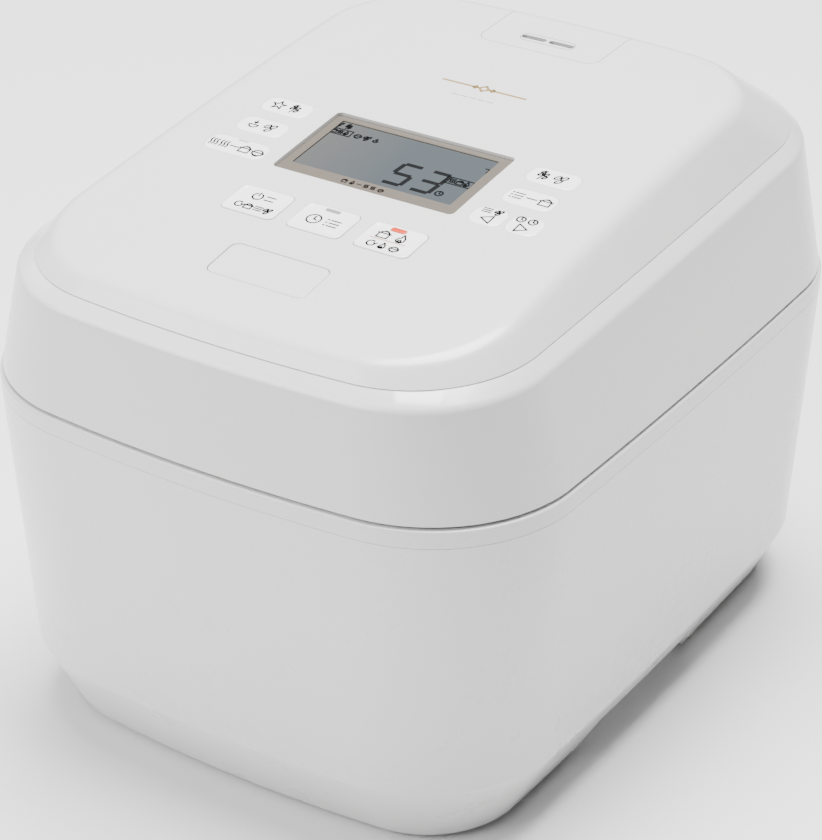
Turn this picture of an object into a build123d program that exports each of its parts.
# Induction rice cooker: tapered body, thick hinged lid with sloping controls, lift-off steam cap.
# Millimetres. X runs across the cooker, -Y is the front, +Z is up. The origin is on the table,
# under the middle of the cooker.
from build123d import *
import math
import os

os.makedirs("parts", exist_ok=True)

# ---------------------------------------------------------------- driving dimensions

rim_half_width = 144.0  # widest part of the body, at the belt line
rim_front = -186.6
rim_rear = 173.8

foot_height = 3.2
crease_height = 37.5  # where the side turns in towards the foot
body_height = 166.3
rim_height = 174.4
belt_gap = 1.2  # dark line between the body and the lid
lid_side_height = 56.1  # lid bottom to the ridge, at the middle
bevel_height = 5.4  # ridge to the seam round the top panel
ridge_slope = 0.043
seam_slope = 0.047

crown_rise = 22.7  # top panel surface above its seam, over the origin
crown_slope = 0.103
crown_bend = 0.000227
panel_crease_radius = 11.0

# Each outline is the rim's, set in at the sides, front and rear, with its own corner radius and
# the bow of its front and sides: (side, front, rear, corner radius, front bow, side bow).
rim = (0.0, 0.0, 0.0, 70.0, 12.0, 3.6)
sole = (25.4, 23.8, 12.0, 46.0, 9.6, 3.0)
crease = (7.1, 5.8, 3.5, 70.0, 11.0, 3.4)
lid_edge = (1.1, 1.0, 1.0, 69.5, 12.0, 3.6)
ridge = (13.8, 6.7, 8.0, 62.3, 9.5, 1.8)
seam = (20.2, 13.7, 12.7, 58.6, 9.5, 1.8)
top_edge = (37.0, 30.2, 57.6, 46.4, 6.0, 2.1)

body_wall = 2.8
lid_wall = 2.6
panel_wall = 2.4
fit_gap = 0.2  # between fixed neighbours
seam_gap = 0.4  # fine line between the lid ring and the top panel
move_gap = 0.35  # round anything that slides or swings
soft_gap = 0.12  # round the small side keys, which are a close sliding fit
shaft_gap = 0.05  # running fit, on the radius

pot_centre_y = -46.0
pot_radius = 108.0
pot_wall = 2.5
pot_floor = 4.0
pot_bottom = 44.0
pot_corner = 30.0
pot_flange_radius = 119.0
pot_flange_thickness = 2.0
pot_to_case = 1.5
case_wall = 2.2

deck_drop = 2.4  # deck below the top of the rim
deck_thickness = 4.0
ring_thickness = 0.8
inner_lid_radius = 117.0
inner_lid_thickness = 1.0
inner_lid_rise = 3.2
heater_radius = 98.0

hinge_rise = 2.4  # hinge axis above the lid's lower edge
hinge_out = 4.2  # hinge axis behind the rim
hinge_cover_radius = 8.6
hinge_shaft_radius = 3.0
knuckle_radius = 6.4
hinge_half_width = 66.0

display_width = 94.4
display_depth = 53.9
display_y = -31.6
key_width = 27.5
key_depth = 20.5
key_pitch = 34.5
key_y = -86.2
soft_key_x = 70.6
soft_key_ys = (-12.6, -32.2, -51.8)
soft_key_radius = 5.0
release_width = 50.4
release_depth = 23.2
release_y = -127.3
cap_width = 64.0
cap_front = 89.0
cap_rear = 149.0
cap_depth = 14.0

# ---------------------------------------------------------------- derived places

lid_bottom = rim_height + belt_gap
ridge_height = lid_bottom + lid_side_height
seam_height = ridge_height + bevel_height
crown_height = seam_height + crown_rise
deck_top = rim_height - deck_drop
shelf_top = deck_top - 2.4
pot_top = shelf_top + ring_thickness + pot_flange_thickness
gasket_bottom = pot_top + 0.3
gasket_height = 2.3
inner_lid_bottom = gasket_bottom + gasket_height
inner_lid_top = inner_lid_bottom + inner_lid_thickness
inner_lid_raised = inner_lid_top + inner_lid_rise
lid_floor = lid_bottom + 1.0
lid_floor_thickness = 2.4
hat_top = inner_lid_raised + 13.2
heater_bottom = inner_lid_raised + 6.8
hinge_y = rim_rear + hinge_out
hinge_z = lid_bottom + hinge_rise
case_radius = pot_radius + pot_to_case
case_bottom = pot_bottom - pot_to_case - case_wall


def level(height):
    return Plane.XY.offset(height)


def slope_plane(height, slope):
    return Plane(origin=(0, 0, height), x_dir=(1, 0, 0), z_dir=(0, -slope, 1))


def crown(y):
    return crown_height + crown_slope * y - crown_bend * y * y


def on_panel(y, rise=0.0):
    """Plane on the top panel at y, lying along its slope and lifted by rise."""
    normal = Vector(0, 2 * crown_bend * y - crown_slope, 1).normalized()
    return Plane(origin=Vector(0, y, crown(y)) + normal * rise, x_dir=(1, 0, 0), z_dir=normal)


def outline(plane, shape, shrink=0.0):
    """Rounded outline with bowed sides on a plane, set in by shrink."""
    side, front, rear, radius, front_bow, side_bow = shape
    half = rim_half_width - side - shrink
    y_front = rim_front + front + shrink
    y_rear = rim_rear - rear - shrink
    x_corner = half - side_bow
    middle = (y_front + y_rear) / 2
    with BuildSketch(plane) as profile:
        with BuildLine():
            ThreePointArc((-x_corner, y_front + front_bow), (0, y_front), (x_corner, y_front + front_bow))
            ThreePointArc((x_corner, y_front + front_bow), (half, middle), (x_corner, y_rear - front_bow))
            ThreePointArc((x_corner, y_rear - front_bow), (0, y_rear), (-x_corner, y_rear - front_bow))
            ThreePointArc((-x_corner, y_rear - front_bow), (-half, middle), (-x_corner, y_front + front_bow))
        make_face()
        fillet(profile.vertices(), radius - shrink)
    return profile.sketch.face()


def between(lower_plane, lower, upper_plane, upper, shrink=0.0):
    """Solid with straight sides between two outlines."""
    return loft([outline(lower_plane, lower, shrink), outline(upper_plane, upper, shrink)],
                ruled=True, mode=Mode.PRIVATE)


def under_crown(drop=0.0):
    """Everything below the top panel's curved surface, lowered by drop."""
    front = rim_front - 20
    rear = rim_rear + 20
    with BuildSketch(Plane.YZ) as profile:
        with BuildLine():
            ThreePointArc((front, crown(front) - drop), (0, crown(0) - drop), (rear, crown(rear) - drop))
            Line((rear, crown(rear) - drop), (rear, lid_bottom))
            Line((rear, lid_bottom), (front, lid_bottom))
            Line((front, lid_bottom), (front, crown(front) - drop))
        make_face()
    return extrude(profile.sketch, rim_half_width + 20, both=True, mode=Mode.PRIVATE)


def panel_form(shrink=0.0):
    """The top panel's outer form, or the same form set in by shrink."""
    top_plane = slope_plane(crown(0) + 4, crown_slope)
    seam_plane = slope_plane(seam_height + seam_gap - shrink, seam_slope)
    solid = between(seam_plane, seam, top_plane, top_edge, shrink)
    return solid & under_crown(shrink)


def body_form(shrink=0.0, top=body_height):
    """The body's tapered form up to a height."""
    foot = between(level(foot_height), sole, level(crease_height), crease, shrink)
    side = between(level(crease_height), crease, level(top), rim, shrink)
    return foot + side


def pad(plane, width, depth, radius, low, high, x=0.0, y=0.0):
    """Rounded rectangular slab standing on a plane, from low to high along its normal."""
    with BuildPart() as slab:
        with BuildSketch(Plane(origin=plane.from_local_coords((x, y, low)), x_dir=plane.x_dir,
                               z_dir=plane.z_dir)):
            RectangleRounded(width, depth, radius)
        extrude(amount=high - low)
    return slab.part


def post(x, y, radius, low, high):
    """Upright round post."""
    return Pos(x, y, (low + high) / 2) * Cylinder(radius, high - low, mode=Mode.PRIVATE)


def bar(radius, x_low, x_high, y, z):
    """Round bar lying across the cooker."""
    rod = Cylinder(radius, x_high - x_low, mode=Mode.PRIVATE)
    return Pos((x_low + x_high) / 2, y, z) * Rot(0, 90, 0) * rod


def block(x_low, x_high, y_low, y_high, z_low, z_high):
    """Plain block between two corners."""
    centre = ((x_low + x_high) / 2, (y_low + y_high) / 2, (z_low + z_high) / 2)
    return Pos(*centre) * Box(x_high - x_low, y_high - y_low, z_high - z_low, mode=Mode.PRIVATE)


def coil_of_wire(x, y, low, high, radius, wire, turns):
    """Upright helical spring."""
    with BuildPart() as coil:
        with BuildLine() as path:
            Helix(pitch=(high - low - 2 * wire) / turns, height=high - low - 2 * wire, radius=radius,
                  center=(x, y, low + wire))
        with BuildSketch(Plane(origin=path.line @ 0, z_dir=path.line % 0)):
            Circle(wire)
        sweep()
    return coil.part


def save(piece, name):
    piece.label = name
    export_step(piece, "parts/" + name + ".step")


# ---------------------------------------------------------------- body shell

grip_front = -62.0  # hand recess in each side's lower edge
grip_rear = 42.0
grip_height = 13.0
grip_depth = 20.0
grip_inner = rim_half_width - sole[0] - grip_depth
grip_top = foot_height + grip_height

inlet_x = -66.0
inlet_width = 36.0
inlet_height = 28.0
inlet_z = 66.0
grille_x = 52.0
grille_width = 70.0
grille_height = 40.0
grille_z = 72.0


def grip_space(grow=0.0):
    """The two hand recesses, grown on every side."""
    with BuildSketch(Plane.YZ) as side:
        with BuildLine():
            Polyline((grip_front - grow, 0), (grip_front + 10 - grow, grip_top + grow),
                     (grip_rear - 10 + grow, grip_top + grow), (grip_rear + grow, 0), close=True)
        make_face()
    right = extrude(side.sketch, rim_half_width, mode=Mode.PRIVATE)
    right = right & block(grip_inner - grow, rim_half_width, grip_front - 20, grip_rear + 20, 0, 80)
    return right + mirror(right, about=Plane.YZ, mode=Mode.PRIVATE)


base_screw_places = [(x, y) for x in (-104.0, 104.0) for y in (-96.0, 100.0)]
base_thickness = 2.5
base_top = foot_height + base_thickness
boss_radius = 5.0
boss_height = 22.0
rear_wall_y = rim_rear - crease[2]
hinge_notch_half = hinge_half_width - body_wall
outer_body = body_form()

with BuildPart() as body_shell:
    add(outer_body)
    crease_edges = body_shell.edges().filter_by_position(Axis.Z, crease_height - 0.1, crease_height + 0.1)
    fillet(crease_edges, 3.5)
    add(body_form(body_wall), mode=Mode.SUBTRACT)
    add(outer_body & grip_space(body_wall))
    for x, y in base_screw_places:
        outward = math.copysign(30.0, x)
        rib = block(min(x, x + outward), max(x, x + outward), y - 1.5, y + 1.5, base_top + fit_gap + 2,
                    boss_height)
        add(outer_body & (post(x, y, boss_radius, base_top + fit_gap, boss_height) + rib))
        add(post(x, y, 1.62, base_top, boss_height - 3), mode=Mode.SUBTRACT)
    add(grip_space(), mode=Mode.SUBTRACT)
    with BuildSketch(Plane.XZ.offset(-rear_wall_y)):
        with Locations((inlet_x, inlet_z)):
            RectangleRounded(inlet_width, inlet_height, 4)
        with Locations((grille_x, grille_z)):
            RectangleRounded(grille_width, grille_height, 4)
    extrude(amount=16, both=True, mode=Mode.SUBTRACT)
save(body_shell.part, "body_shell")

# ---------------------------------------------------------------- body rim and deck

deck_hole_radius = case_radius + 3.3
shelf_radius = pot_flange_radius + 3.0
latch_back = rim_front + 12.0  # rear face of the latch hook
barb_length = 2.0
striker_front = latch_back + barb_length
latch_half_width = 9.0
slot_half_width = latch_half_width + 2.5

with BuildPart() as body_rim:
    add(between(level(body_height + fit_gap), rim, level(rim_height), rim))
    fillet(body_rim.edges().group_by(Axis.Z)[-1], 1.2)
    add(between(level(deck_top), rim, level(rim_height + 1), rim, body_wall + 0.4), mode=Mode.SUBTRACT)
    add(between(level(body_height), rim, level(deck_top - deck_thickness), rim, body_wall + 0.4),
        mode=Mode.SUBTRACT)
    add(post(0, pot_centre_y, shelf_radius, shelf_top, deck_top + 1), mode=Mode.SUBTRACT)
    add(post(0, pot_centre_y, deck_hole_radius, body_height, deck_top), mode=Mode.SUBTRACT)
    add(block(-slot_half_width, slot_half_width, rim_front + 4.1, striker_front, body_height, rim_height),
        mode=Mode.SUBTRACT)
    add(block(-hinge_notch_half, hinge_notch_half, hinge_y - 12, rim_rear + 1, deck_top, rim_height + 1),
        mode=Mode.SUBTRACT)
save(body_rim.part, "body_rim")

with BuildPart() as well_ring:
    with BuildSketch(Plane.XY.offset(shelf_top)):
        with Locations((0, pot_centre_y)):
            Circle(shelf_radius - 0.4)
            Circle(case_radius + 0.7, mode=Mode.SUBTRACT)
    extrude(amount=ring_thickness)
save(well_ring.part, "well_ring")

with BuildPart() as latch_striker:
    add(block(-14, 14, striker_front, striker_front + 3.2, shelf_top - 3.0, shelf_top - 1.8))
    add(block(-14, 14, striker_front + 2.0, striker_front + 3.2, shelf_top - 8, shelf_top - 1.8))
striker_top = shelf_top - 1.8
save(latch_striker.part, "latch_striker")

# ---------------------------------------------------------------- base plate, feet and screws

fan_x = 52.0
fan_y = 96.0
fan_half = 40.0
fan_radius = 37.0
foot_places = [(84.0, -118.0), (108.5, 52.5), (62.0, 146.0)]
foot_radius = 9.0
foot_stub = 3.0

with BuildPart() as base_plate:
    add(between(level(foot_height), sole, level(base_top), sole, body_wall + fit_gap))
    add(grip_space(body_wall + fit_gap), mode=Mode.SUBTRACT)
    with BuildSketch(Plane.XY.offset(foot_height)):
        for row in range(9):
            across_slot = (row - 4) * 7.0
            with Locations((fan_x, fan_y + across_slot)):
                SlotOverall(2 * math.sqrt((fan_radius - 4) ** 2 - across_slot ** 2), 3.2)
    extrude(amount=base_thickness, mode=Mode.SUBTRACT)
    with Locations([(x, y, foot_height) for x, y in base_screw_places]):
        Hole(2.0, depth=base_thickness * 2)
    with Locations([(side * x, y, foot_height) for x, y in foot_places for side in (-1, 1)]):
        Hole(foot_stub + 0.1, depth=base_thickness * 2)
save(base_plate.part, "base_plate")

with BuildPart() as feet:
    for x, y in foot_places:
        for side in (-1, 1):
            add(post(side * x, y, foot_radius, 0, foot_height))
    chamfer(feet.edges().group_by(Axis.Z)[0], 0.6)
    for x, y in foot_places:
        for side in (-1, 1):
            add(post(side * x, y, foot_stub, foot_height, base_top + 1.5))
save(feet.part, "feet")

# ---------------------------------------------------------------- coil case, pot and coils


def turned(points_maker):
    """Solid of revolution about the pot's upright axis."""
    with BuildPart() as body:
        with BuildSketch(Plane.XZ) as profile:
            with BuildLine():
                points_maker()
            make_face()
        revolve(axis=Axis.Z)
    return Pos(0, pot_centre_y, 0) * body.part


def bowl(radius, bottom, corner, top):
    """Closed bowl form: upright wall, rounded corner, flat bottom."""
    Line((0, top), (radius, top))
    Line((radius, top), (radius, bottom + corner))
    RadiusArc((radius, bottom + corner), (radius - corner, bottom), corner)
    Line((radius - corner, bottom), (0, bottom))
    Line((0, bottom), (0, top))


flange_bottom = shelf_top + ring_thickness
case_flange_top = deck_top - deck_thickness - fit_gap
case_flange_bottom = case_flange_top - 2.0

with BuildPart() as inner_pot:
    add(turned(lambda: bowl(pot_radius, pot_bottom, pot_corner, pot_top)))
    add(post(0, pot_centre_y, pot_flange_radius, flange_bottom, pot_top))
    outer_rim = inner_pot.edges().filter_by(GeomType.CIRCLE).filter_by(
        lambda edge: edge.radius > pot_flange_radius - 0.1)
    fillet(outer_rim, 0.9)
    add(turned(lambda: bowl(pot_radius - pot_wall, pot_bottom + pot_floor, pot_corner - pot_wall,
                            pot_top + 1)),
        mode=Mode.SUBTRACT)
save(inner_pot.part, "inner_pot")

sensor_radius = 14.0
sensor_hole_radius = sensor_radius + 2.5

with BuildPart() as coil_case:
    add(turned(lambda: bowl(case_radius + case_wall, case_bottom, pot_corner + pot_to_case + case_wall,
                            case_flange_top)))
    add(post(0, pot_centre_y, case_radius + 12.5, case_flange_bottom, case_flange_top))
    add(turned(lambda: bowl(case_radius, case_bottom + case_wall, pot_corner + pot_to_case,
                            case_flange_top + 1)), mode=Mode.SUBTRACT)
    add(post(0, pot_centre_y, sensor_hole_radius, case_bottom - 1, case_bottom + case_wall + 1),
        mode=Mode.SUBTRACT)
save(coil_case.part, "coil_case")

coil_thickness = 5.0
coil_top = case_bottom - 0.3
coil_bottom = coil_top - coil_thickness
coil_radius = 68.0
carrier_thickness = 3.0
carrier_top = coil_bottom - fit_gap
carrier_bottom = carrier_top - carrier_thickness
case_corner = pot_corner + pot_to_case + case_wall
corner_centre_r = case_radius + case_wall - case_corner
corner_centre_z = case_bottom + case_corner


def ring_part(outer, inner, low, high):
    """Flat ring about the pot's axis."""
    return post(0, pot_centre_y, outer, low, high) - post(0, pot_centre_y, inner, low - 1, high + 1)


flat_coil_inner = 21.0
flat_coil_pitch = 6.0
flat_coil_width = 4.8
with BuildPart() as flat_coil:  # the winding under the pot, on a thin disc that holds its turns
    for turn in range(8):
        inner = flat_coil_inner + turn * flat_coil_pitch
        add(ring_part(inner + flat_coil_width, inner, coil_bottom, coil_top))
    add(ring_part(coil_radius, flat_coil_inner, coil_bottom, coil_bottom + 1.2))


def corner_band(inner, outer, start, end):
    """Part of a ring of round section, wrapped round the case's lower corner."""
    turns = [math.radians(angle) for angle in (start, (start + end) / 2, end)]
    near, far = [[(corner_centre_r + radius * math.cos(turn), corner_centre_z + radius * math.sin(turn))
                  for turn in turns] for radius in (inner, outer)]
    ThreePointArc(*near)
    Line(near[2], far[2])
    ThreePointArc(far[2], far[1], far[0])
    Line(far[0], near[0])


with BuildPart() as induction_coil:
    add(flat_coil.part)
    add(turned(lambda: corner_band(case_corner + 0.3, case_corner + 5.0, -72, -12)))
save(induction_coil.part, "induction_coil")

with BuildPart() as side_heater:
    add(ring_part(case_radius + case_wall + 1.5, case_radius + case_wall + fit_gap, 112, 142))
save(side_heater.part, "side_heater")

sleeve_inner = sensor_radius - 1.7
sleeve_floor_top = base_top + 12.0
sleeve_top = carrier_top

with BuildPart() as coil_carrier:
    add(ring_part(coil_radius + 4, sleeve_inner, carrier_bottom, carrier_top))
    add(ring_part(sleeve_inner + 2.0, sleeve_inner, sleeve_floor_top - 2, sleeve_top))
    add(post(0, pot_centre_y, sleeve_inner + 2.0, sleeve_floor_top - 2, sleeve_floor_top))
    for turn in range(4):
        arm_angle = math.radians(45 + 90 * turn)
        arm_x = 64 * math.cos(arm_angle)
        arm_y = pot_centre_y + 64 * math.sin(arm_angle)
        add(post(arm_x, arm_y, 4.0, base_top, carrier_bottom))
save(coil_carrier.part, "coil_carrier")

with BuildPart() as ferrite_bars:
    for turn in range(8):
        with BuildSketch(Plane.XY.offset(carrier_bottom - fit_gap)):
            with Locations((0, pot_centre_y)):
                with PolarLocations(42, 1, start_angle=22.5 + 45 * turn):
                    Rectangle(40, 9)
        extrude(amount=-5.0)
save(ferrite_bars.part, "ferrite_bars")

sensor_top = pot_bottom - 0.3
with BuildPart() as centre_sensor:
    add(post(0, pot_centre_y, sensor_radius, sensor_top - 2, sensor_top))
    fillet(centre_sensor.edges().group_by(Axis.Z)[-1], 1.0)
    add(post(0, pot_centre_y, sleeve_inner - move_gap, sleeve_floor_top + 8, sensor_top - 2))
save(centre_sensor.part, "centre_sensor")

with BuildPart() as sensor_spring:
    add(coil_of_wire(0, pot_centre_y, sleeve_floor_top, sleeve_floor_top + 8 - fit_gap, 8.0, 0.6, 3.5))
save(sensor_spring.part, "sensor_spring")

# ---------------------------------------------------------------- fan, power board and rear fittings

fan_bottom = base_top + fit_gap
fan_top = fan_bottom + 25.0
hub_radius = 15.0

with BuildPart() as fan_housing:
    with BuildSketch(Plane.XY.offset(fan_bottom)):
        with Locations((fan_x, fan_y)):
            RectangleRounded(2 * fan_half, 2 * fan_half, 5)
            Circle(fan_radius + 1.2, mode=Mode.SUBTRACT)
    extrude(amount=fan_top - fan_bottom)
    with BuildSketch(Plane.XY.offset(fan_bottom)):
        with Locations((fan_x, fan_y)):
            Circle(hub_radius)
            with PolarLocations(26.5, 3):
                Rectangle(25, 4)
    extrude(amount=2.4)
    add(post(fan_x, fan_y, 1.5, fan_bottom + 2, fan_top - 3))
save(fan_housing.part, "fan_housing")

with BuildPart() as fan_rotor:
    add(post(fan_x, fan_y, hub_radius, fan_bottom + 3.4, fan_top - 1))
    for blade in range(7):
        facing = 360.0 / 7 * blade
        blade = Box(22.5, 22, 1.6, mode=Mode.PRIVATE)
        vane = Rot(0, 0, facing) * Pos(hub_radius + 9.7, 0, 0) * Rot(38, 0, 0) * blade
        add(Pos(fan_x, fan_y, (fan_bottom + fan_top) / 2 + 1) * vane)
    add(post(fan_x, fan_y, fan_radius, fan_bottom + 3.4, fan_top - 1), mode=Mode.INTERSECT)
    add(post(fan_x, fan_y, 1.5 + shaft_gap, fan_bottom, fan_top - 2.5), mode=Mode.SUBTRACT)
save(fan_rotor.part, "fan_rotor")

board_z = 96.0
board_x_low = -100.0
board_x_high = -4.0
board_y_low = 84.0
board_y_high = 138.0
with BuildPart() as power_board:
    add(block(board_x_low, board_x_high, board_y_low, board_y_high, board_z, board_z + 1.6))
    add(block(-66, -44, 94, 116, board_z + 1.6, board_z + 24))
    add(block(-96, -72, 108, 128, board_z + 1.6, board_z + 20))
    add(post(-24, 100, 9, board_z + 1.6, board_z + 30))
    add(post(-24, 124, 6.5, board_z + 1.6, board_z + 26))
    for x in (board_x_low + 6, board_x_high - 6):
        for y in (board_y_low + 6, board_y_high - 6):
            add(post(x, y, 3.0, base_top + fit_gap, board_z))
save(power_board.part, "power_board")

with BuildPart() as heat_sink:
    add(block(8, 112, 86, 92, 48, 118))
    for fin in range(11):
        add(block(10 + fin * 9.9, 11.6 + fin * 9.9, 92, 128, 48, 118))
save(heat_sink.part, "heat_sink")

inlet_face_y = rim_rear - 9.0
socket_depth = 16.0
pin_pitch = 13.0
inlet_pin_radius = 2.0
pin_root_radius = 1.6
pin_length = 13.0
with BuildPart() as power_inlet:
    with BuildSketch(Plane.XZ.offset(-inlet_face_y)):
        with Locations((inlet_x, inlet_z)):
            RectangleRounded(inlet_width - 0.8, inlet_height - 0.8, 3.6)
    extrude(amount=socket_depth + 4)
    with BuildSketch(Plane.XZ.offset(-inlet_face_y)):
        with Locations((inlet_x, inlet_z)):
            RectangleRounded(inlet_width - 7, inlet_height - 9, 3)
    extrude(amount=socket_depth, mode=Mode.SUBTRACT)
    with BuildSketch(Plane.XZ.offset(-(inlet_face_y - socket_depth + 1))):
        with Locations((inlet_x, inlet_z)):
            with GridLocations(pin_pitch, 0, 2, 1):
                Circle(pin_root_radius)
    extrude(amount=8, mode=Mode.SUBTRACT)
save(power_inlet.part, "power_inlet")

with BuildPart() as inlet_pins:
    with BuildSketch(Plane.XZ.offset(-(inlet_face_y - socket_depth))):
        with Locations((inlet_x, inlet_z)):
            with GridLocations(pin_pitch, 0, 2, 1):
                Circle(inlet_pin_radius)
    extrude(amount=-pin_length)
    fillet(inlet_pins.edges().group_by(Axis.Y)[-1], 1.0)
    with BuildSketch(Plane.XZ.offset(-(inlet_face_y - socket_depth))):
        with Locations((inlet_x, inlet_z)):
            with GridLocations(pin_pitch, 0, 2, 1):
                Circle(pin_root_radius)
    extrude(amount=6)
save(inlet_pins.part, "inlet_pins")

grille_face_y = rim_rear - 8.3
with BuildPart() as exhaust_grille:
    with BuildSketch(Plane.XZ.offset(-grille_face_y)):
        with Locations((grille_x, grille_z)):
            RectangleRounded(grille_width - 0.8, grille_height - 0.8, 3.6)
            with GridLocations(0, 6.0, 1, 5):
                SlotOverall(grille_width - 12, 3.2, mode=Mode.SUBTRACT)
    extrude(amount=7.0)
save(exhaust_grille.part, "exhaust_grille")

# ---------------------------------------------------------------- rear hinge

ear_inner = 46.0
ear_outer = 61.0
bracket_thickness = 2.0
foot_y_low = hinge_y - 28.0
bracket_bottom = deck_top + 0.1
bracket_screw_places = [(side * x, foot_y_low + 9) for side in (-1, 1)
                        for x in (ear_inner + 1, ear_outer - 3)]


def side_profile(*points):
    """Face in the upright plane along the cooker, through (y, z) points."""
    with BuildSketch(Plane.YZ) as face:
        with BuildLine():
            Polyline(*points, close=True)
        make_face()
    return face.sketch


def across(face, x_low, x_high):
    """Extrude an upright lengthwise face between two x places."""
    return Pos(x_low, 0, 0) * extrude(face, x_high - x_low, mode=Mode.PRIVATE)


with BuildPart() as hinge_bracket:
    web = side_profile((hinge_y - 11, bracket_bottom), (hinge_y - 5.6, bracket_bottom),
                       (hinge_y - 1, hinge_z - 6.2),
                       (hinge_y, hinge_z), (hinge_y - 6, hinge_z + 1), (hinge_y - 8, bracket_bottom + 2.2))
    for side in (-1, 1):
        x_low = min(side * ear_inner, side * ear_outer)
        add(bar(knuckle_radius, x_low, x_low + ear_outer - ear_inner, hinge_y, hinge_z))
        add(across(web, x_low, x_low + ear_outer - ear_inner))
        add(block(x_low - 2, x_low + ear_outer - ear_inner + 2, foot_y_low, hinge_y - 6.4, bracket_bottom,
                  bracket_bottom + bracket_thickness))
    add(bar(hinge_shaft_radius + 0.02, -hinge_half_width, hinge_half_width, hinge_y, hinge_z),
        mode=Mode.SUBTRACT)
    for x, y in bracket_screw_places:
        add(post(x, y, 1.7, bracket_bottom - 1, bracket_bottom + 4), mode=Mode.SUBTRACT)
save(hinge_bracket.part, "hinge_bracket")

with BuildPart() as body_screws:
    for x, y in bracket_screw_places:
        add(post(x, y, 3.0, bracket_bottom + bracket_thickness, bracket_bottom + bracket_thickness + 1.5))
        add(post(x, y, 1.5, deck_top + 0.02, bracket_bottom + bracket_thickness))
    for x, y in base_screw_places:
        add(post(x, y, 3.6, foot_height - 1.6, foot_height))
        add(post(x, y, 1.6, foot_height, boss_height - 6))
        add(post(x, y, 1.4, foot_height - 1.7, foot_height - 1.0), mode=Mode.SUBTRACT)
save(body_screws.part, "body_screws")

shaft_half = hinge_half_width - 3.2
with BuildPart() as hinge_shaft:
    add(bar(hinge_shaft_radius, -shaft_half, shaft_half, hinge_y, hinge_z))
    chamfer(hinge_shaft.edges(), 0.4)
save(hinge_shaft.part, "hinge_shaft")


def opening_sector(reach):
    """Wedge round the hinge axis that the lid's arm sweeps, from below the front to past the top."""
    points = [(hinge_y, hinge_z)]
    for turn in (-75, -38, 0, 45, 90, 118, 147):
        angle = math.radians(turn)
        points.append((hinge_y - reach * math.cos(angle), hinge_z + reach * math.sin(angle)))
    return across(side_profile(*points), -hinge_half_width + 2.4, hinge_half_width - 2.4)


skirt_bottom = hinge_z - 32.0
with BuildPart() as hinge_cover:
    skirt = side_profile((hinge_y + hinge_cover_radius, hinge_z),
                         (hinge_y + hinge_cover_radius - 1.2, hinge_z - 13),
                         (hinge_y - 6, skirt_bottom), (hinge_y - 22, skirt_bottom), (hinge_y - 22, hinge_z))
    add(across(skirt, -hinge_half_width, hinge_half_width))
    add(block(-hinge_half_width, hinge_half_width, hinge_y - 22, hinge_y - 4.4, skirt_bottom, hinge_z + 10),
        mode=Mode.SUBTRACT)
    add(bar(hinge_cover_radius, -hinge_half_width, hinge_half_width, hinge_y, hinge_z))
    fillet(hinge_cover.edges().filter_by(GeomType.CIRCLE).group_by(Axis.X)[-1], 1.0)
    fillet(hinge_cover.edges().filter_by(GeomType.CIRCLE).group_by(Axis.X)[0], 1.0)
    add(bar(knuckle_radius + 0.6, -hinge_half_width + 2.4, hinge_half_width - 2.4, hinge_y, hinge_z),
        mode=Mode.SUBTRACT)
    add(opening_sector(14), mode=Mode.SUBTRACT)
    add(between(level(crease_height), crease, level(body_height), rim, -0.12), mode=Mode.SUBTRACT)
    add(between(level(body_height - 0.1), rim, level(deck_top + 0.1), rim, -0.12), mode=Mode.SUBTRACT)
    add(between(level(deck_top), rim, level(rim_height + 0.2), rim, -0.12)
        - block(-hinge_notch_half, hinge_notch_half, hinge_y - 30, rim_rear + 1, deck_top, rim_height + 1),
        mode=Mode.SUBTRACT)
save(hinge_cover.part, "hinge_cover")

spring_half = 17.0
with BuildPart() as hinge_spring:
    with BuildLine() as spring_path:
        Helix(pitch=2.1, height=2 * spring_half - 2, radius=hinge_shaft_radius + 1.6,
              center=(-spring_half + 1, hinge_y, hinge_z), direction=(1, 0, 0))
    with BuildSketch(Plane(origin=spring_path.line @ 0, z_dir=spring_path.line % 0)):
        Circle(0.7)
    sweep()
save(hinge_spring.part, "hinge_spring")

knuckle_inner = 19.0
knuckle_outer = ear_inner - 0.5
arm_bottom = lid_floor + lid_floor_thickness + fit_gap
arm_top = arm_bottom + 4.0
arm_front = hinge_y - 56.0
arm_screw_places = [(side * x, arm_front + 10) for side in (-1, 1) for x in (24.0, 40.0)]
with BuildPart() as lid_hinge_arm:
    for side in (-1, 1):
        x_low = min(side * knuckle_inner, side * knuckle_outer)
        add(bar(knuckle_radius, x_low, x_low + knuckle_outer - knuckle_inner, hinge_y, hinge_z))
        add(block(x_low, x_low + knuckle_outer - knuckle_inner, arm_front, hinge_y, arm_bottom, arm_top))
    add(block(-knuckle_outer, knuckle_outer, arm_front, arm_front + 22, arm_bottom, arm_top))
    add(bar(hinge_shaft_radius + shaft_gap, -hinge_half_width, hinge_half_width, hinge_y, hinge_z),
        mode=Mode.SUBTRACT)
    for x, y in arm_screw_places:
        add(post(x, y, 1.8, arm_bottom - 1, arm_top + 1), mode=Mode.SUBTRACT)
save(lid_hinge_arm.part, "lid_hinge_arm")

# ---------------------------------------------------------------- lid ring (side and bevel)

ring_screw_places = [(side * x, y) for side in (-1, 1) for x, y in ((125.5, -96.0), (126.5, 66.0))]
hinge_clear_half = hinge_half_width + 0.6

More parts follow.
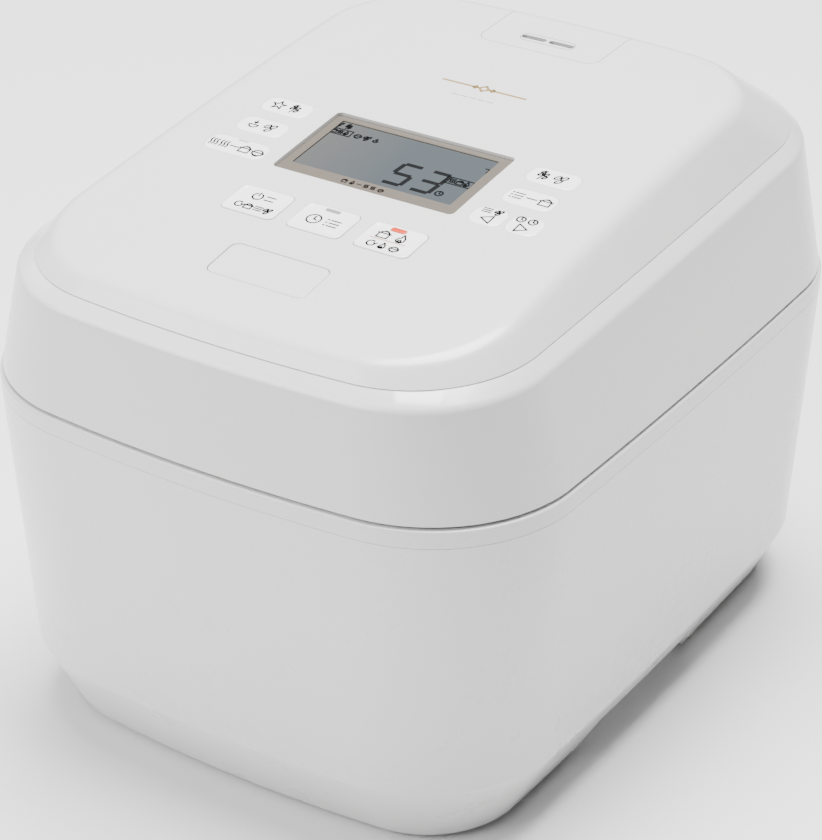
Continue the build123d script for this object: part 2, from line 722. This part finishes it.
with BuildPart() as lid_ring:
    add(between(level(lid_bottom), lid_edge, slope_plane(ridge_height, ridge_slope), ridge))
    add(between(slope_plane(ridge_height, ridge_slope), ridge, slope_plane(seam_height, seam_slope), seam))
    ridge_plane = slope_plane(ridge_height, ridge_slope)
    ridge_edges = lid_ring.edges().filter_by(
        lambda edge: all(abs(ridge_plane.to_local_coords(end.center()).Z) < 0.05 for end in edge.vertices()))
    fillet(ridge_edges, 5.0)
    fillet(lid_ring.edges().group_by(Axis.Z)[0], 0.8)
    add(between(level(lid_bottom - 1), lid_edge, slope_plane(ridge_height - 2, ridge_slope), ridge, lid_wall),
        mode=Mode.SUBTRACT)
    add(between(slope_plane(ridge_height - 2, ridge_slope), ridge,
                slope_plane(seam_height - 3.2, seam_slope), seam, lid_wall), mode=Mode.SUBTRACT)
    add(between(slope_plane(seam_height - 3.3, seam_slope), seam,
                slope_plane(seam_height + 3, seam_slope), seam, lid_wall + 5.0), mode=Mode.SUBTRACT)
    for x, y in ring_screw_places:
        add(post(x, y, 4.2, arm_bottom, ridge_height + ridge_slope * y - 8))
        add(post(x, y, 1.52, arm_bottom - 1, arm_bottom + 14), mode=Mode.SUBTRACT)
    add(bar(hinge_cover_radius + 0.6, -hinge_clear_half, hinge_clear_half, hinge_y, hinge_z),
        mode=Mode.SUBTRACT)
    add(block(-hinge_clear_half, hinge_clear_half, hinge_y - 12, rim_rear + 1, lid_bottom - 1, arm_top + 0.6),
        mode=Mode.SUBTRACT)
save(lid_ring.part, "lid_ring")

# ---------------------------------------------------------------- top panel

cap_length = cap_rear - cap_front
cap_middle = (cap_front + cap_rear) / 2


def cap_prism(grow=0.0, low=lid_bottom, high=crown_height + 40):
    return pad(level(0), cap_width + 2 * grow, cap_length + 2 * grow, 6.0 + grow, low, high, 0, cap_middle)


display_plane = on_panel(display_y)
key_plane = on_panel(key_y)
release_plane = on_panel(release_y)
key_radius = 3.6

soft_keys = {
    "key_grade": (-soft_key_x, soft_key_ys[0], 25.0, 13.0),
    "key_small_batch": (-soft_key_x, soft_key_ys[1], 25.0, 13.0),
    "key_keep_warm": (-soft_key_x, soft_key_ys[2], 32.0, 13.0),
    "key_rice": (soft_key_x, soft_key_ys[0], 25.0, 13.0),
    "key_course": (soft_key_x, soft_key_ys[1], 25.0, 13.0),
    "key_back": (soft_key_x - 9.0, soft_key_ys[2], 16.0, 14.0),
    "key_forward": (soft_key_x + 9.0, soft_key_ys[2], 16.0, 14.0),
}
front_keys = {"key_cancel": -key_pitch, "key_timer": 0.0, "key_cook": key_pitch}

outer_panel = panel_form()

with BuildPart() as lid_top_panel:
    add(outer_panel)
    upward = lid_top_panel.faces().filter_by(lambda face: face.normal_at(face.center()).Z > 0.9)
    fillet(upward.sort_by(Axis.Z)[-1].edges(), panel_crease_radius)
    rounded_panel = lid_top_panel.part
    add(panel_form(panel_wall), mode=Mode.SUBTRACT)
    add(pad(display_plane, display_width, display_depth, 2.5, -9, 9), mode=Mode.SUBTRACT)
    for x in front_keys.values():
        add(pad(key_plane, key_width + 2 * move_gap, key_depth + 2 * move_gap, key_radius, -9, 9, x),
            mode=Mode.SUBTRACT)
    for x, y, width, depth in soft_keys.values():
        add(pad(on_panel(y), width + 2 * soft_gap, depth + 2 * soft_gap, soft_key_radius + soft_gap,
                -9, 9, x), mode=Mode.SUBTRACT)
    add(pad(release_plane, release_width + 2 * move_gap, release_depth + 2 * move_gap, 4.4, -9, 9),
        mode=Mode.SUBTRACT)
    add(cap_prism(move_gap), mode=Mode.SUBTRACT)
save(lid_top_panel.part, "lid_top_panel")

# ---------------------------------------------------------------- display and control board

bezel_outer_drop = 1.7
glass_width = 83.0
glass_depth = 41.0
glass_shift_x = -1.0
glass_shift_y = 2.6

with BuildPart() as display_bezel:
    add(pad(display_plane, display_width - 0.3, display_depth - 0.3, 2.4, -bezel_outer_drop - 2.6,
            -bezel_outer_drop))
    add(pad(display_plane, glass_width, glass_depth, 0.8, -9, 9, glass_shift_x, glass_shift_y),
        mode=Mode.SUBTRACT)
save(display_bezel.part, "display_bezel")

with BuildPart() as display_glass:
    add(pad(display_plane, glass_width - 0.2, glass_depth - 0.2, 0.7, -bezel_outer_drop - 1.8,
            -bezel_outer_drop - 0.5, glass_shift_x, glass_shift_y))
save(display_glass.part, "display_glass")

with BuildPart() as display_module:
    add(pad(display_plane, glass_width + 4, glass_depth + 6, 1.0,
            -bezel_outer_drop - 7.4, -bezel_outer_drop - 2.7, glass_shift_x, 0))
save(display_module.part, "display_module")

board_drop = 12.5
board_plane = on_panel(-50.0, -board_drop)
with BuildPart() as control_board:
    add(pad(board_plane, 172, 108, 3.0, -1.6, 0, 0, -1))
    for x, y, width, depth in list(soft_keys.values()) + [(x, key_y, 0, 0) for x in front_keys.values()]:
        local = board_plane.to_local_coords(Vector(x, y, crown(y) - board_drop))
        add(pad(board_plane, 6, 6, 0.5, 0, 3.4, local.X, local.Y))
save(control_board.part, "control_board")

# ---------------------------------------------------------------- keys

switch_gap = 1.3


def key_cap(plane, x, width, depth, radius, rise, edge, flange):
    """Key with a soft top edge, a retaining flange under the panel and a stem to its switch."""
    with BuildPart() as cap:
        add(pad(plane, width, depth, radius, -5.0, rise, x))
        fillet(cap.edges().filter_by(lambda side: plane.to_local_coords(side.center()).Z > rise - 0.01), edge)
        add(pad(plane, width + flange, depth + flange, radius, -5.0, -panel_wall - 0.7, x))
        add(pad(plane, 4, 4, 1.0, -board_drop + 3.4 + switch_gap, -5.0, x))
    return cap.part


for name, key_x in front_keys.items():
    save(key_cap(key_plane, key_x, key_width, key_depth, key_radius - move_gap, 0.5, 0.45, 2.6), name)

for name, (key_x, soft_y, width, depth) in soft_keys.items():
    save(key_cap(on_panel(soft_y), key_x, width, depth, soft_key_radius, 0.3, 0.25, 1.6), name)

# ---------------------------------------------------------------- lid release: button, hook, pin, spring

pin_y = rim_front + 14.6
pin_z = lid_bottom + 24.0
pin_radius = 1.5
lever_length = 52.0
lever_thickness = 3.0
release_gap = 0.9
stem_slope = release_plane.z_dir

stem_foot_y = pin_y + lever_length
stem_depth = (release_plane.origin.Z - (pin_z + lever_thickness / 2 + release_gap)) / stem_slope.Z
stem_offset = stem_foot_y - (release_plane.origin.Y - stem_slope.Y * stem_depth)

with BuildPart() as release_button:
    add(pad(release_plane, release_width, release_depth, 4.0, -6.0, 0.1))
    fillet(release_button.edges().filter_by(
        lambda side: release_plane.to_local_coords(side.center()).Z > 0.05), 0.8)
    add(pad(release_plane, release_width - 4, release_depth - 4, 3.0, -7.0, -1.8), mode=Mode.SUBTRACT)
    add(pad(release_plane, 7, 7, 1.5, -stem_depth, -1.0, 0, stem_offset))
    add(pad(release_plane, release_width + 3.0, 3.0, 1.0, -6.0, -4.4, 0, release_depth / 2 - 1.0))
save(release_button.part, "release_button")

hook_thickness = 3.0
hook_short = 0.4  # the barb stops this far short of the striker
hook_foot = striker_top - 7.0
barb_top = striker_top - 1.2 - move_gap

with BuildPart() as latch_hook:
    add(bar(4.0, -latch_half_width, latch_half_width, pin_y, pin_z))
    add(block(-latch_half_width, latch_half_width, latch_back - hook_thickness, latch_back, hook_foot,
              pin_z - 1.5))
    add(block(-latch_half_width, latch_half_width, latch_back - hook_thickness, pin_y,
              pin_z - 4.0, pin_z - 0.5))
    barb = side_profile((latch_back - 0.1, barb_top), (striker_front - hook_short, barb_top),
                        (latch_back - 0.1, hook_foot))
    add(across(barb, -latch_half_width, latch_half_width))
    add(block(-5, 5, pin_y, stem_foot_y + 5, pin_z - lever_thickness / 2, pin_z + lever_thickness / 2))
    add(bar(pin_radius + shaft_gap, -20, 20, pin_y, pin_z), mode=Mode.SUBTRACT)
save(latch_hook.part, "latch_hook")

with BuildPart() as latch_pin:
    add(bar(pin_radius, -19, 19, pin_y, pin_z))
save(latch_pin.part, "latch_pin")

latch_spring_y = pin_y + 26.0
with BuildPart() as latch_spring:
    add(coil_of_wire(0, latch_spring_y, hat_top, pin_z - lever_thickness / 2 - fit_gap, 3.4, 0.4, 2.5))
save(latch_spring.part, "latch_spring")

# ---------------------------------------------------------------- lid base

hat_inner = inner_lid_radius + 1.6
hat_wall = 2.4
valve_x = -34.0
valve_y = 8.0
dome_inner = 14.0
dome_wall = 2.0
seat_top = hat_top + 1.6
ball_radius = 4.5
seat_hole = 3.0
ball_z = seat_top + math.sqrt(ball_radius ** 2 - seat_hole ** 2) + 0.1
dome_top = ball_z + ball_radius + 6.2
plunger_z = ball_z + 1.75
plunger_radius = 2.0
duct_y = 36.0
duct_radius = 11.0
duct_wall = 1.8

with BuildPart() as lid_base:
    add(between(level(lid_floor), lid_edge, level(lid_floor + lid_floor_thickness), lid_edge, lid_wall + 1.1))
    add(post(0, pot_centre_y, hat_inner + hat_wall, lid_floor, hat_top))
    add(post(0, pot_centre_y, hat_inner, lid_floor - 1, hat_top - hat_wall), mode=Mode.SUBTRACT)
    add(post(valve_x, valve_y, dome_inner + dome_wall, hat_top - hat_wall, dome_top))
    add(post(valve_x, valve_y, dome_inner, hat_top - hat_wall - 1, dome_top - dome_wall), mode=Mode.SUBTRACT)
    add(bar(plunger_radius + move_gap, valve_x, valve_x + 20, valve_y, plunger_z), mode=Mode.SUBTRACT)
    add(post(0, duct_y, duct_radius + fit_gap, hat_top - hat_wall - 1, hat_top + 1), mode=Mode.SUBTRACT)
    add(block(-slot_half_width, slot_half_width, rim_front + 4.5, latch_back + 3.4,
              lid_floor - 1, arm_bottom),
        mode=Mode.SUBTRACT)
    for side in (-1, 1):
        x_low = min(side * (slot_half_width + 0.5), side * (slot_half_width + 6.5))
        add(block(x_low, x_low + 6.0, pin_y - 4, pin_y + 4, lid_floor, pin_z + 4))
    add(bar(pin_radius + 0.01, -19.2, 19.2, pin_y, pin_z), mode=Mode.SUBTRACT)
    for x, y in ring_screw_places:
        add(post(x, y, 1.7, lid_floor - 1, arm_bottom), mode=Mode.SUBTRACT)
    for x, y in arm_screw_places:
        add(post(x, y, 1.7, lid_floor - 1, arm_bottom), mode=Mode.SUBTRACT)
save(lid_base.part, "lid_base")

screw_head = 0.9
with BuildPart() as lid_screws:
    for x, y in ring_screw_places + arm_screw_places:
        add(post(x, y, 3.2, lid_floor - screw_head, lid_floor))
        add(post(x, y, 1.5, lid_floor, arm_bottom + 3.4))
save(lid_screws.part, "lid_screws")

# ---------------------------------------------------------------- inner lid and what passes through it

raise_radius = 95.0
safety_x = 34.0
safety_y = 8.0
safety_stem = 2.0


def dished():
    """Inner lid section: flat rim, short cone, raised middle."""
    Polyline((0, inner_lid_raised - inner_lid_thickness),
             (raise_radius - 4, inner_lid_raised - inner_lid_thickness),
             (raise_radius, inner_lid_bottom), (inner_lid_radius, inner_lid_bottom),
             (inner_lid_radius, inner_lid_top), (raise_radius + 0.6, inner_lid_top),
             (raise_radius - 3.4, inner_lid_raised), (0, inner_lid_raised), close=True)


with BuildPart() as inner_lid:
    add(turned(dished))
    add(post(valve_x, valve_y, seat_hole, inner_lid_bottom - 1, inner_lid_raised + 1), mode=Mode.SUBTRACT)
    add(post(safety_x, safety_y, safety_stem + move_gap, inner_lid_bottom - 1, inner_lid_raised + 1),
        mode=Mode.SUBTRACT)
    with BuildSketch(Plane.XY.offset(inner_lid_bottom)):
        with Locations((0, duct_y)):
            with PolarLocations(5.6, 6):
                Circle(1.6)
    extrude(amount=10, mode=Mode.SUBTRACT)
save(inner_lid.part, "inner_lid")

with BuildPart() as inner_lid_gasket:
    with BuildSketch(Plane.XY.offset(gasket_bottom)):
        with Locations((0, pot_centre_y)):
            Circle(inner_lid_radius - 0.5)
            Circle(inner_lid_radius - 9.0, mode=Mode.SUBTRACT)
    extrude(amount=gasket_height)
    fillet(inner_lid_gasket.edges().group_by(Axis.Z)[0], 0.9)
save(inner_lid_gasket.part, "inner_lid_gasket")

with BuildPart() as lid_heater:
    with BuildSketch(Plane.XY.offset(heater_bottom)):
        with Locations((0, pot_centre_y)):
            Circle(heater_radius)
        for x, y, radius in ((valve_x, valve_y, 12.5), (safety_x, safety_y, 9.0), (0, duct_y, 13.5)):
            with Locations((x, y)):
                Circle(radius, mode=Mode.SUBTRACT)
    extrude(amount=1.5)
    for turn in range(3):
        angle = math.radians(120 * turn - 90)
        add(post(86 * math.cos(angle), pot_centre_y + 86 * math.sin(angle), 3.0, heater_bottom + 1.5,
                 hat_top - hat_wall))
save(lid_heater.part, "lid_heater")

with BuildPart() as valve_seat:
    add(post(valve_x, valve_y, 11.5, inner_lid_raised, inner_lid_raised + 2.0))
    add(post(valve_x, valve_y, 10.4, inner_lid_raised, seat_top))
    add(post(valve_x, valve_y, 10.4, seat_top, seat_top + 2.2))
    add(post(valve_x, valve_y, 9.2, seat_top, seat_top + 3), mode=Mode.SUBTRACT)
    add(post(valve_x, valve_y, seat_hole, inner_lid_raised - 1, seat_top + 1), mode=Mode.SUBTRACT)
save(valve_seat.part, "valve_seat")

with BuildPart() as valve_ball:
    add(Pos(valve_x, valve_y, ball_z) * Sphere(ball_radius, mode=Mode.PRIVATE))
save(valve_ball.part, "valve_ball")

plunger_tip = valve_x + ball_radius + 0.3
solenoid_x_low = valve_x + dome_inner + dome_wall + 2.0
solenoid_length = 30.0
with BuildPart() as valve_solenoid:
    add(block(solenoid_x_low, solenoid_x_low + solenoid_length, valve_y - 9, valve_y + 9, hat_top + fit_gap,
              plunger_z + 8))
    add(bar(plunger_radius + move_gap, solenoid_x_low - 1, solenoid_x_low + solenoid_length - 2, valve_y,
            plunger_z), mode=Mode.SUBTRACT)
save(valve_solenoid.part, "valve_solenoid")

with BuildPart() as solenoid_plunger:
    add(bar(plunger_radius, plunger_tip, solenoid_x_low + solenoid_length - 8, valve_y, plunger_z))
save(solenoid_plunger.part, "solenoid_plunger")

with BuildPart() as safety_valve:
    add(post(safety_x, safety_y, safety_stem, inner_lid_bottom + 0.5, inner_lid_raised + fit_gap))
    add(post(safety_x, safety_y, 6.0, inner_lid_raised + fit_gap, inner_lid_raised + 2.4))
    fillet(safety_valve.edges().group_by(Axis.Z)[-1], 0.8)
save(safety_valve.part, "safety_valve")

# ---------------------------------------------------------------- steam duct, cap and its seal

cup_floor = seam_height - 2.0
cup_floor_thickness = 2.0
cup_wall = 2.0
duct_top_y = cap_front + 20.0


def duct_run(radius, low, high):
    """Slanting round passage from the lid base up to the steam cup."""
    with BuildPart() as run:
        with BuildSketch(Plane.XY.offset(low)):
            with Locations((0, duct_y)):
                Circle(radius)
        with BuildSketch(Plane.XY.offset(high)):
            with Locations((0, duct_top_y)):
                Circle(radius)
        loft()
    return run.part


with BuildPart() as steam_duct:
    add(cap_prism(move_gap + cup_wall, cup_floor, cup_floor + 9))
    add(cap_prism(move_gap + cup_wall, cup_floor + 8) & panel_form(panel_wall + fit_gap))
    add(cap_prism(move_gap, cup_floor + cup_floor_thickness, crown_height + 40), mode=Mode.SUBTRACT)
    add(duct_run(duct_radius, hat_top, cup_floor + 1))
    add(post(0, duct_y, duct_radius, hat_top - hat_wall, hat_top + 0.5))
    add(duct_run(duct_radius - duct_wall, hat_top, cup_floor + 1), mode=Mode.SUBTRACT)
    add(post(0, duct_y, duct_radius - duct_wall, hat_top - hat_wall - 1, hat_top + 0.01), mode=Mode.SUBTRACT)
    add(post(0, duct_top_y, duct_radius - duct_wall, cup_floor + 0.9, cup_floor + 3), mode=Mode.SUBTRACT)
save(steam_duct.part, "steam_duct")

cap_wall = 2.0
vent_y = 101.0
vent_length = 13.4
vent_width = 3.4
vent_pitch = 14.8
with BuildPart() as steam_cap:
    add((rounded_panel & cap_prism()) - Pos(0, 0, -cap_depth) * panel_form())
    add(cap_prism(-cap_wall) & panel_form(cap_wall), mode=Mode.SUBTRACT)
    for side in (-1, 1):
        add(pad(on_panel(vent_y), vent_length, vent_width, vent_width / 2 - 0.01, -6, 6,
                side * vent_pitch / 2), mode=Mode.SUBTRACT)
save(steam_cap.part, "steam_cap")

with BuildPart() as duct_seals:
    add(post(0, duct_y, duct_radius - 0.5, inner_lid_raised, hat_top - hat_wall - 1.2))
    add(post(0, duct_y, duct_radius - 3.2, inner_lid_raised - 1, hat_top), mode=Mode.SUBTRACT)
    add(post(0, duct_top_y, duct_radius + 3, cup_floor + cup_floor_thickness,
             cup_floor + cup_floor_thickness + 2.0))
    add(post(0, duct_top_y, duct_radius - 0.5, cup_floor, cup_floor + 6), mode=Mode.SUBTRACT)
save(duct_seals.part, "duct_seals")
